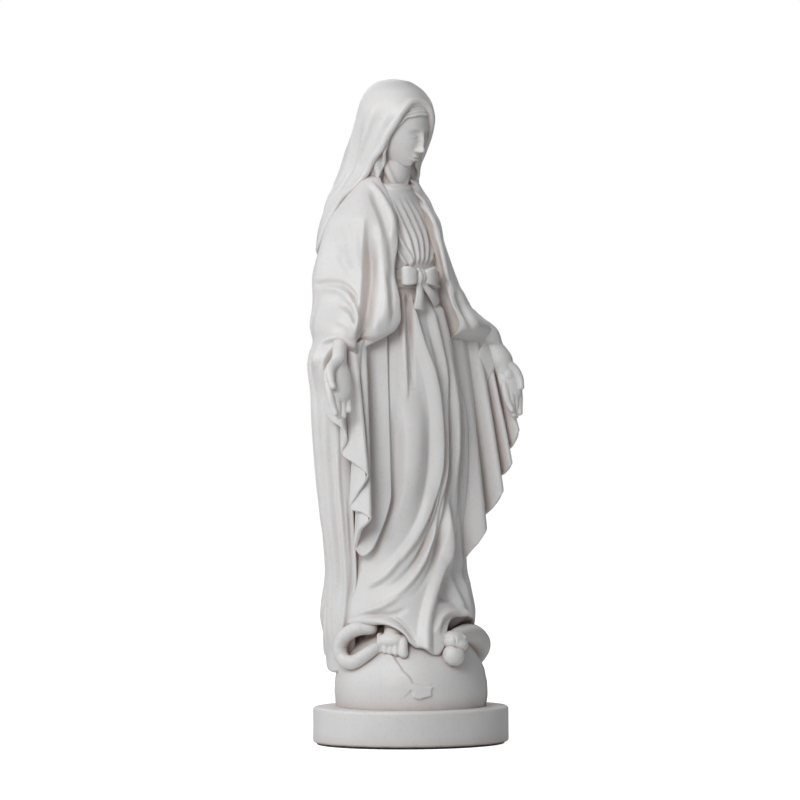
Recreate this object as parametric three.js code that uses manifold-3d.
// A standing robed figure on a globe: a small cast-marble devotional statue.
// Millimetres, +Z up, the figure faces -Y, her left is +X. The origin is the centre of the underside.
import * as THREE from 'three';
import { mergeVertices } from 'three/addons/utils/BufferGeometryUtils.js';
import Module from 'manifold-3d';

const wasm = await Module();
wasm.setup();

// ---- driving dimensions -------------------------------------------------------------------
const GAP = 0.35; // clearance between neighbouring pieces
const PLINTH = { rx: 38, ry: 34, bottom: 0.8, top: 14, bevel: 1 };
const FELT = { rx: 36.5, ry: 32.5 };
const GLOBE = { r: 28, z: 20 };
const WAIST = { low: 170.6, high: 177.4, proud: 1.3 };
const CLOTH = 2.4; // thickness of the hanging cloth
const HEAD = { at: [-0.2, 7.2, 230.8], size: [9.4, 11.4, 14.6], nod: 21, turn: 15 };
const RING = 28; // points round a lofted section
const SIDES = { right: -1, left: 1 };

const STONE = { color: 0xe9e8e4, roughness: 0.42, metalness: 0 };
const DARK_FELT = { color: 0x2a2b2c, roughness: 0.95, metalness: 0 };

// The trunk leans a little to her right as it rises: [z, x].
const SWAY = [[150, 0], [165, -0.7], [176, -1.5], [188, -2.5], [200, -3], [208, -2.2], [220, -0.6], [232, 0]];

// Sections of the body: [z, centre y, half width, depth in front, depth behind].
const SKIRT_LEVELS = [
  [30, 4, 26, 31, 25],
  [38, 5, 25.5, 30, 22],
  [50, 5, 26, 25, 21],
  [58, 5, 24.6, 23, 21],
  [70, 5, 23, 20.5, 21],
  [100, 5, 23, 19, 21],
  [130, 5, 22, 18, 21],
  [150, 5, 19, 16, 19],
  [162, 5.4, 16.4, 14.6, 16],
  [170.3, 6, 15, 14.6, 14],
];
const BODICE_LEVELS = [
  [170.6, 6, 15, 14.6, 14],
  [178, 7.4, 16, 14.2, 15],
  [188, 10.4, 17.4, 13.6, 15],
  [196, 12.6, 18, 13, 14],
  [202, 13, 15.6, 12, 12],
  [206, 12.6, 11, 11, 10],
  [209.5, 12, 7.4, 9.4, 8],
];
const VEIL_LEVELS = [
  [182, 16.5, 27.2, 14, 18.4],
  [190, 17, 25.8, 15, 18],
  [197, 17.4, 23.4, 16, 17],
  [203, 17.6, 20.4, 16, 16],
  [209, 17.8, 15.4, 15, 17.2],
  [216, 16.6, 12.6, 14.6, 17],
  [223, 14.2, 13, 15.4, 16.8],
  [230, 11.8, 13.6, 16.6, 15.4],
  [237, 10.4, 13.6, 16.6, 15.2],
  [243, 10.4, 11.4, 14, 13.2],
  [247.5, 11, 7.6, 9.4, 9],
  [250, 11.6, 2.4, 3, 3],
];

// Half plans of the mantle: [z, then x, y from the front edge round to the middle of the back].
const MANTLE_PLANS = [
  [27, [22, 5], [25, 7], [26.4, 11], [26.6, 15], [24.5, 20], [15.5, 31], [0, 35]],
  [45, [24, 2], [27.4, 5], [28.6, 9], [28.4, 13], [27, 19], [16, 31], [0, 34]],
  [62, [24, 1], [26.4, 4], [27.8, 8], [27.6, 12], [26, 17], [15, 28.5], [0, 31.5]],
  [85, [26, 0], [29.6, 3], [31.4, 7], [31.6, 12], [29.2, 18], [16.5, 29], [0, 32]],
  [108, [28, -1], [32, 1], [34.2, 5], [34.6, 11], [31.2, 19], [17.5, 29], [0, 32]],
  [130, [29, -3], [34, -1], [36.6, 3], [36.6, 10], [32.2, 19.5], [18, 29], [0, 31.8]],
  [147, [27, -6], [34.5, -6.5], [38.6, -2], [38.4, 6], [32.5, 19.8], [18, 28.8], [0, 31.5]],
  [155, [15, -11.5], [25, -11], [34.6, -5], [36, 5], [32, 20], [18, 28.8], [0, 31.5]],
  [165, [12, -11], [18.8, -9.2], [25.4, -3], [29.8, 6.6], [30, 20.5], [18, 29], [0, 32]],
  [176, [12, -8.6], [16.6, -7], [21.6, -0.4], [27.4, 10], [28.8, 21], [17, 29.5], [0, 32.2]],
  [188, [11.4, -4.6], [15, -3.4], [19, 1.6], [24.6, 11.5], [26.2, 20.5], [15.5, 28.5], [0, 32.5]],
  [198, [10.6, 0], [14.6, 0.6], [18.6, 4.4], [22.4, 12], [22.6, 20], [13.5, 27.5], [0, 31.5]],
  [206, [8, 5], [11, 6.4], [14, 9.6], [15.8, 14], [14.8, 20.5], [9, 26], [0, 28.6]],
];

// The cloth hanging from each forearm: [z, then x, y at the inner edge, the middle and the outer edge].
const FALLS = {
  right: [
    [152, [15.6, -11.4], [23, -10.4], [31, -6.5]],
    [136, [16.2, -10.9], [24, -8.6], [31, -12.5]],
    [122, [16.5, -10.7], [24, -8.4], [31, -11.5]],
    [108, [16.5, -10.7], [23, -8.6], [28.5, -11.4]],
    [98, [16.6, -10.6], [23, -8.2], [29.6, -10.5]],
    [90, [17.2, -10.4], [23, -8], [31.5, -7.6]],
    [82, [18.6, -9.8], [22, -8.6], [26.5, -9.4]],
    [76, [20.8, -9.2], [23, -8.8], [25.6, -8.6]],
    [70, [23.4, -8.6], [24.4, -8.4], [25.4, -8]],
  ],
  left: [
    [152, [15.6, -11.4], [26, -10.4], [35, -6]],
    [140, [16.2, -10.9], [27, -8.4], [36.5, -4.6]],
    [128, [16.5, -10.7], [28, -8], [38.6, -5]],
    [114, [16.5, -10.7], [27, -8], [40, -11]],
    [102, [16.6, -10.6], [26, -8], [37.5, -10]],
    [90, [17.2, -10.4], [24.5, -8], [32.4, -8.2]],
    [80, [19.6, -9.6], [23.4, -8.4], [27.2, -8]],
    [72, [22, -8.6], [23, -8.2], [24, -7.8]],
  ],
};

const ARM = [[27, 8, 164], [33, -1.5, 152], [37, -6.5, 145.5], [38.6, -9.4, 137]];
const FINGERTIPS = [40, -13, 121.5];
const THUMB = [[38, -8.6, 141], [42.2, -10.6, 136.5], [43.4, -12, 131]];

// ---- solids ---------------------------------------------------------------------------------
function solid(geometry) {
  const bare = new THREE.BufferGeometry();
  const source = geometry.index ? geometry.toNonIndexed() : geometry;
  bare.setAttribute('position', source.getAttribute('position').clone());
  const merged = mergeVertices(bare, 1e-4);
  return new wasm.Manifold(new wasm.Mesh({
    numProp: 3,
    vertProperties: merged.attributes.position.array,
    triVerts: new Uint32Array(merged.index.array),
  }));
}

function geometryOf(body) {
  const mesh = body.getMesh();
  const points = new Float32Array(mesh.numVert * 3);
  for (let i = 0; i < mesh.numVert; i++) {
    points.set(mesh.vertProperties.subarray(i * mesh.numProp, i * mesh.numProp + 3), i * 3);
  }
  const geometry = new THREE.BufferGeometry();
  geometry.setAttribute('position', new THREE.BufferAttribute(points, 3));
  geometry.setIndex(new THREE.BufferAttribute(mesh.triVerts, 1));
  geometry.computeVertexNormals();
  return geometry;
}

const join = (...bodies) => bodies.reduce((a, b) => a.add(b));
const cut = (body, ...tools) => tools.reduce((a, b) => a.subtract(b), body);

// The largest body left by a cut.
function mainBody(body) {
  return body.decompose().reduce((a, b) => (b.volume() > a.volume() ? b : a));
}

function surface(points, faces) {
  const geometry = new THREE.BufferGeometry();
  geometry.setAttribute('position', new THREE.Float32BufferAttribute(points.flat(), 3));
  geometry.setIndex(faces.flat());
  return solid(geometry);
}

// A closed body through rings of equal length, each anticlockwise about the way the rings advance.
function loft(rings) {
  const n = rings[0].length;
  const points = rings.flat();
  const faces = [];
  for (let k = 0; k + 1 < rings.length; k++) {
    for (let i = 0; i < n; i++) {
      const [a, b] = [k * n + i, k * n + (i + 1) % n];
      faces.push([a, b, b + n], [a, b + n, a + n]);
    }
  }
  const caps = [[rings[0], 0, true], [rings.at(-1), (rings.length - 1) * n, false]];
  for (const [ring, base, flip] of caps) {
    points.push([0, 1, 2].map((axis) => ring.reduce((sum, p) => sum + p[axis], 0) / n));
    for (let i = 0; i < n; i++) {
      const [a, b] = [base + i, base + (i + 1) % n];
      faces.push(flip ? [points.length - 1, b, a] : [points.length - 1, a, b]);
    }
  }
  return surface(points, faces);
}

// A slab about the surface at(s, t), with s and t from 0 to 1.
function slab(at, ns, nt, thickness) {
  const point = (s, t) => new THREE.Vector3(...at(s, t));
  const step = 1e-3;
  const faceGrid = (side) => {
    const grid = [];
    for (let j = 0; j <= nt; j++) {
      for (let i = 0; i <= ns; i++) {
        const [s, t] = [i / ns, j / nt];
        const along = point(Math.min(s + step, 1), t).sub(point(Math.max(s - step, 0), t));
        const down = point(s, Math.min(t + step, 1)).sub(point(s, Math.max(t - step, 0)));
        const normal = along.cross(down).normalize();
        grid.push(point(s, t).addScaledVector(normal, side * thickness / 2).toArray());
      }
    }
    return grid;
  };
  const n = ns + 1;
  const total = n * (nt + 1);
  const faces = [];
  const quad = (a, b, c, d) => faces.push([a, b, c], [a, c, d]);
  for (let j = 0; j < nt; j++) {
    for (let i = 0; i < ns; i++) {
      const a = j * n + i;
      quad(a, a + 1, a + n + 1, a + n);
      quad(total + a, total + a + n, total + a + n + 1, total + a + 1);
    }
  }
  for (let i = 0; i < ns; i++) {
    const last = nt * n + i;
    quad(i, total + i, total + i + 1, i + 1);
    quad(last, last + 1, total + last + 1, total + last);
  }
  for (let j = 0; j < nt; j++) {
    const [a, b] = [j * n, j * n + ns];
    quad(a, a + n, total + a + n, total + a);
    quad(b, total + b, total + b + n, b + n);
  }
  const body = surface([...faceGrid(1), ...faceGrid(-1)], faces);
  return body;
}

// The values of a table at a key between its rows, by a smooth curve through the rows.
function tableAt(table, key) {
  const rows = table[0][0] < table.at(-1)[0] ? table : [...table].reverse();
  const last = rows.length - 1;
  const at = Math.min(Math.max(key, rows[0][0]), rows[last][0]);
  let k = 0;
  while (k < last - 1 && at > rows[k + 1][0]) k++;
  const span = rows[k + 1][0] - rows[k][0];
  const t = (at - rows[k][0]) / span;
  const values = (i) => rows[i].slice(1).flat();
  const [low, high] = [values(k), values(k + 1)];
  const slope = (i, v) => {
    if (i === 0 || i === last) return 0;
    return (values(i + 1)[v] - values(i - 1)[v]) / (rows[i + 1][0] - rows[i - 1][0]);
  };
  return low.map((a, v) => {
    const b = high[v];
    const [ma, mb] = [slope(k, v) * span, slope(k + 1, v) * span];
    return (2 * t ** 3 - 3 * t ** 2 + 1) * a + (t ** 3 - 2 * t ** 2 + t) * ma
      + (3 * t ** 2 - 2 * t ** 3) * b + (t ** 3 - t ** 2) * mb;
  });
}

const swayAt = (z) => tableAt(SWAY, z)[0];
const pairs = (values) => values.flatMap((v, i) => (i % 2 ? [] : [[v, values[i + 1]]]));
const mirror = (p, side) => [p[0] * side, p[1], p[2]];
const radians = THREE.MathUtils.degToRad;

function ovalRing(levels, z, grow = 0) {
  const [cy, half, front, back] = tableAt(levels, z);
  return Array.from({ length: RING }, (_, i) => {
    const angle = (2 * Math.PI * i) / RING;
    const depth = Math.sin(angle) < 0 ? front : back;
    return [(half + grow) * Math.cos(angle) + swayAt(z), cy + (depth + grow) * Math.sin(angle), z];
  });
}

// A body through oval sections, made larger all round by grow and longer by ends.
function ovalBody(levels, grow, steps, ends = grow) {
  const [low, high] = [levels[0][0] - ends, levels.at(-1)[0] + ends];
  const rings = [];
  for (let k = 0; k <= steps; k++) rings.push(ovalRing(levels, low + ((high - low) * k) / steps, grow));
  return loft(rings);
}

function ball(centre, radii, turns = [0, 0, 0], detail = 16) {
  const geometry = new THREE.SphereGeometry(1, detail, Math.round(detail * 0.7));
  geometry.scale(...radii);
  geometry.applyMatrix4(new THREE.Matrix4().makeRotationFromEuler(new THREE.Euler(...turns, 'ZXY')));
  geometry.translate(...centre);
  return solid(geometry);
}

// A round limb through points, each with its own radius.
function limb(points, radii, sides = 10, steps = 8) {
  const curve = new THREE.CatmullRomCurve3(points.map((p) => new THREE.Vector3(...p)));
  const frames = curve.computeFrenetFrames(steps, false);
  const table = radii.map((r, i) => [i / (radii.length - 1), r]);
  const rings = [];
  for (let k = 0; k <= steps; k++) {
    const centre = curve.getPointAt(k / steps);
    const [r] = tableAt(table, k / steps);
    rings.push(Array.from({ length: sides }, (_, i) => {
      const angle = (2 * Math.PI * i) / sides;
      return centre.clone()
        .addScaledVector(frames.normals[k], r * Math.cos(angle))
        .addScaledVector(frames.binormals[k], r * Math.sin(angle)).toArray();
    }));
  }
  return loft(rings);
}

function block(low, high, tilt = 0, about = [0, 0, 0]) {
  const geometry = new THREE.BoxGeometry(...high.map((v, i) => v - low[i]));
  geometry.translate(...high.map((v, i) => (v + low[i]) / 2));
  geometry.rotateX(tilt);
  geometry.translate(...about);
  return solid(geometry);
}

// ---- base -----------------------------------------------------------------------------------
function ellipseSlab(rx, ry, low, high, bevel) {
  const shape = new THREE.Shape();
  shape.absellipse(0, 0, rx - bevel, ry - bevel, 0, 2 * Math.PI);
  const geometry = new THREE.ExtrudeGeometry(shape, {
    depth: high - low - 2 * bevel,
    bevelEnabled: bevel > 0,
    bevelThickness: bevel,
    bevelSize: bevel,
    bevelSegments: 2,
    curveSegments: 24,
  });
  geometry.translate(0, 0, low + bevel);
  return solid(geometry);
}

function globe() {
  const sphere = ball([0, 0, GLOBE.z], Array(3).fill(GLOBE.r), [0, 0, 0], 28);
  return cut(sphere, block([-60, -60, -60], [60, 60, PLINTH.top]));
}

const aroundGlobe = () => ball([0, 0, GLOBE.z], Array(3).fill(GLOBE.r + GAP), [0, 0, 0], 28);

// ---- the serpent and the apple ----------------------------------------------------------------
const TAIL_PATH = [[-22, -5.3, 44], [-26, -2, 43.6], [-28.6, 2.9, 40.5], [-29, 5, 36], [-28.4, 3.2, 32.2],
  [-28, -2.4, 31.4], [-26.4, -7.2, 33.8], [-23.4, -9.9, 36.5], [-19, -9.9, 38]];
const TAIL_RADII = [2.5, 2.7, 2.8, 2.8, 2.7, 2.7, 2.5, 2.2, 1.6];
const NECK_PATH = [[10, 28, 19], [19, 23, 19.5], [27, 14, 23], [30.4, 5, 29.4], [29.4, -3, 35.6],
  [22.6, -9.6, 39.6], [13.6, -16.4, 41.4], [6.4, -21.2, 41]];
const NECK_RADII = [1, 2.2, 2.8, 3.6, 4.3, 4.4, 3.9, 3.2];

const serpentTail = (grow = 0) => limb(TAIL_PATH, TAIL_RADII.map((r) => r + grow), 8, 18);
const serpentBody = (grow = 0) => limb(NECK_PATH, NECK_RADII.map((r) => r + grow), 8, 18);
const serpentHead = (grow = 0) => ball([2, -24.6, 39], [5, 4.5, 3.8].map((r) => r + grow), [0.4, 0, 0], 14);
const apple = (grow = 0) => ball([0.4, -26.8, 34.2], Array(3).fill(4.2 + grow), [0, 0, 0], 14);

// ---- the robed body -----------------------------------------------------------------------------
const skirt = (grow = 0) => ovalBody(SKIRT_LEVELS, grow, 10);
const bodice = (grow = 0) => ovalBody(BODICE_LEVELS, grow, 8);
const footHollow = () => ball([-23, -19, 35], [15, 15, 12]);
const serpentHollow = () => ball([22, -20, 35], [13, 15, 14]);

function waistRing(grow) {
  return loft([WAIST.low, WAIST.high].map((z) => ovalRing(BODICE_LEVELS, z, grow)));
}

function bow() {
  const [x, y, z] = [-1, -10.6, 174.6];
  const knot = ball([x, y, z], [2.2, 1.6, 2.8], [0, 0, 0], 10);
  const bodies = [knot];
  for (const side of Object.values(SIDES)) {
    bodies.push(ball([x + side * 5.2, y + 0.8, z + 0.2], [4.6, 1.8, 3.4], [0, radians(12 * side), 0], 12));
    const reach = side < 0 ? 2 : 7.5;
    bodies.push(limb([[x, y, z - 1], [x + side * reach * 0.5, y - 0.6, z - 7], [x + side * reach, y - 1, z - 13]],
      [1.2, 1.5, 2], 8, 5));
  }
  return join(...bodies);
}

// ---- head and neck --------------------------------------------------------------------------------
const bell = (x, spread) => Math.exp(-((x / spread) ** 2));

// How far the face stands in front of the plain oval, at x across and z up from the middle of the head.
function faceRelief(x, z) {
  const across = Math.abs(x);
  const nose = 2.7 * bell(across, 1.25) * bell(z + 3.1, 2.6) + 0.9 * bell(across, 1.1) * bell(z, 2.4);
  const brow = 0.7 * bell(across - 3.2, 2.6) * bell(z - 3.4, 1.4);
  const socket = -1.5 * bell(across - 3.4, 1.9) * bell(z - 1.2, 1.6);
  const lid = 0.8 * bell(across - 3.4, 1.2) * bell(z - 0.9, 0.8);
  const lips = 0.9 * bell(across, 2) * bell(z + 6.7, 1.1);
  const chin = 1.2 * bell(across, 2.6) * bell(z + 10.6, 1.9);
  const cheek = 0.6 * bell(across - 4.6, 2.2) * bell(z + 3.2, 2.6);
  return nose + brow + socket + lid + lips + chin + cheek;
}

function headTurned(geometry) {
  const turn = new THREE.Euler(radians(HEAD.nod), 0, radians(HEAD.turn), 'ZXY');
  return geometry.applyMatrix4(new THREE.Matrix4().makeRotationFromEuler(turn)).translate(...HEAD.at);
}

function head() {
  const geometry = new THREE.SphereGeometry(1, 32, 24);
  geometry.rotateX(Math.PI / 2);
  const p = geometry.attributes.position;
  for (let i = 0; i < p.count; i++) {
    const up = p.getZ(i);
    const jaw = up < 0 ? 1 - 0.3 * up * up : 1;
    const [x, z] = [p.getX(i) * HEAD.size[0] * jaw, up * HEAD.size[2]];
    const front = Math.max(0, -p.getY(i));
    p.setXYZ(i, x, p.getY(i) * HEAD.size[1] - front * faceRelief(x, z), z);
  }
  return solid(headTurned(geometry));
}

function aroundHead(grow) {
  const geometry = new THREE.SphereGeometry(1, 18, 14);
  geometry.rotateX(Math.PI / 2);
  geometry.scale(...HEAD.size.map((r) => r + grow));
  return solid(headTurned(geometry));
}

const neck = (grow = 0) => limb([[-1.6, 13, 203], [-0.6, 11, 212], [0.2, 9, 221]],
  [5.4, 5, 5.2].map((r) => r + grow), 16, 5);

function hairMass(grow = 0) {
  const locks = Object.values(SIDES).map((side) => limb(
    [[side * 7, 2, 236], [side * 8.6, 4.6, 226], [side * 8, 8.2, 215], [side * 8.4 - 1, 9.6, 208]],
    [1.4, 2.2, 2.1, 1.2].map((r) => r + grow), 7, 6));
  return join(aroundHead(1.5 + grow), ...locks).intersect(ovalBody(VEIL_LEVELS, grow - CLOTH * 0.7, 13, 0));
}

function hair() {
  const face = ball([1.6, -8, 226], [8, 14, 12.4], [radians(HEAD.nod), 0, radians(HEAD.turn)], 16);
  const behind = block([-30, 9, 190], [30, 60, 260]);
  return cut(hairMass(), aroundHead(3 * GAP), face, neck(1.2), behind);
}

// ---- hands and the right foot ----------------------------------------------------------------------
function hand(side, grow = 0) {
  const at = (points) => points.map((p) => mirror(p, side));
  const more = (radii) => radii.map((r) => r + grow);
  const [palmX, palmY, palmZ] = mirror(ARM[3], side);
  const forearm = limb(at(ARM), more([2.8, 2.8, 2.3, 2.5]), 8, 6);
  const palm = ball([palmX, palmY, palmZ - 2], more([4.1, 1.9, 6.4]), [radians(12), 0, 0], 11);
  const fingers = limb(at([ARM[3], [39.4, -11.6, 129], FINGERTIPS]), more([2.8, 2.9, 1.2]), 8, 4);
  const thumb = limb(at(THUMB), more([1.5, 1.4, 0.9]), 6, 4);
  return join(palm, forearm, fingers, thumb);
}

function rightFoot(grow = 0) {
  const more = (radii) => radii.map((r) => r + grow);
  const instep = limb([[-7, -5.4, 47.4], [-13, -9.4, 44.8], [-17.6, -12.6, 40.6]], more([5.2, 4.8, 3.4]), 10, 4);
  const ballOfFoot = ball([-18.4, -13.4, 39.6], more([5.4, 3.2, 3]), [radians(30), 0, radians(-52)], 11);
  const bodies = [instep, ballOfFoot];
  for (let toe = 0; toe < 5; toe++) {
    const aside = toe ? 0.5 : 0; // the big toe is wider, so the others stand further over
    const middle = [-16.6 - 1.25 * toe - aside, -18.6 + 1.75 * toe + aside, 35.6 + 0.3 * toe];
    const radii = more([toe ? 1.15 : 1.6, 3, 1.5]);
    bodies.push(ball(middle, radii, [radians(34), 0, radians(-52 + 2 * toe)], 8));
  }
  return join(...bodies);
}

// ---- mantle, falls and veil -----------------------------------------------------------------------
function mantleRing(z, grow) {
  const half = pairs(tableAt(MANTLE_PLANS, z)).map(([x, y]) => new THREE.Vector2(x, y));
  const outline = [...half, ...half.slice(0, -1).reverse().map((p) => new THREE.Vector2(-p.x, p.y))];
  const curve = new THREE.SplineCurve(outline);
  const count = 36;
  const ring = Array.from({ length: count + 1 }, (_, i) => {
    const p = curve.getPoint(i / count);
    const tangent = curve.getTangent(i / count);
    return [p.x + grow * tangent.y, p.y - grow * tangent.x, z];
  });
  const [edgeX, edgeY] = half[0].toArray();
  for (const side of [-1, 1]) ring.push([side * (edgeX * 0.7 - grow), edgeY + 9 - grow, z]); // inside the gown
  return ring.map(([x, y]) => [x + swayAt(z), y, z]);
}

function mantle(grow = 0) {
  const [low, high] = [MANTLE_PLANS[0][0] - grow, MANTLE_PLANS.at(-1)[0] + grow];
  const steps = 15;
  const rings = [];
  for (let k = 0; k <= steps; k++) rings.push(mantleRing(low + ((high - low) * k) / steps, grow));
  return loft(rings);
}

// The hem rises on her left, so a sloping block takes away the corner below it.
const leftHemCorner = () => block([-20, -80, -30], [60, 80, 0]).rotate([0, -26, 0]).translate([6, 0, 28]);

function fall(name, thickness) {
  const rows = FALLS[name];
  const side = SIDES[name];
  const at = (s, t) => {
    const z = THREE.MathUtils.lerp(rows[0][0], rows.at(-1)[0], t);
    const inward = side < 0 ? 1 - s : s; // so that both run from her right to her left
    const points = pairs(tableAt(rows, z)).map(([x, y]) => new THREE.Vector3(x * side, y, z));
    const p = new THREE.CatmullRomCurve3(points).getPoint(inward);
    return [p.x, p.y + 0.7 * Math.sin(inward * Math.PI * 4), p.z];
  };
  return slab(at, 14, 12, thickness);
}

function veil() {
  const body = ovalBody(VEIL_LEVELS, 0, 13);
  const face = ball([2.4, -8, 226], [9.6, 19, 15.5], [radians(HEAD.nod), 0, radians(HEAD.turn)], 16);
  const throat = ball([-0.4, 3, 211], [10, 12, 12], [0, 0, 0], 14);
  const below = block([-60, -60, -60], [60, 60, 0], radians(-45), [0, 3, 207]);
  return cut(body, face, throat, below);
}

// ---- assembly: each piece is cut clear of the ones it meets -----------------------------------------
const pieces = {};
const place = (name, body, ...around) => {
  pieces[name] = mainBody(cut(body, ...around));
};

const hands = Object.values(SIDES).map((side) => hand(side, GAP));
const gown = [skirt(GAP), bodice(GAP), waistRing(WAIST.proud + GAP)];
const underfoot = [aroundGlobe(), serpentTail(GAP), serpentBody(GAP), serpentHead(GAP), apple(GAP), rightFoot(GAP)];

place('felt_pad', ellipseSlab(FELT.rx, FELT.ry, 0, PLINTH.bottom, 0));
place('plinth', ellipseSlab(PLINTH.rx, PLINTH.ry, PLINTH.bottom, PLINTH.top, PLINTH.bevel));
place('globe', globe());
place('right_foot', rightFoot(), aroundGlobe());
place('serpent_tail', serpentTail(), aroundGlobe(), rightFoot(GAP));
place('serpent_head', serpentHead(), aroundGlobe());
place('serpent_body', serpentBody(), aroundGlobe(), serpentHead(GAP));
place('apple', apple(), aroundGlobe(), serpentHead(GAP));
place('skirt', skirt(), ...underfoot, footHollow(), serpentHollow());
place('sash', waistRing(WAIST.proud), bodice(GAP));
place('bodice', bodice());
place('bow', bow(), ...gown);
place('neck', neck(), bodice(GAP), aroundHead(3 * GAP));
place('head', head());
for (const [name, side] of Object.entries(SIDES)) place(`${name}_hand`, hand(side));
place('mantle', mantle(), ...gown, ...underfoot, ...hands, leftHemCorner());
for (const name of Object.keys(SIDES)) {
  place(`mantle_fall_${name}`, fall(name, CLOTH), ...gown, mantle(GAP), ...hands);
}
place('hair', hair(), bodice(GAP));
place('veil', veil(), mantle(GAP), neck(GAP), hairMass(GAP), aroundHead(3 * GAP), bodice(GAP));

const statue = new THREE.Group();
for (const [name, body] of Object.entries(pieces)) {
  const look = name === 'felt_pad' ? DARK_FELT : STONE;
  const mesh = new THREE.Mesh(geometryOf(body), new THREE.MeshStandardMaterial(look));
  mesh.name = name;
  statue.add(mesh);
}

export default statue;
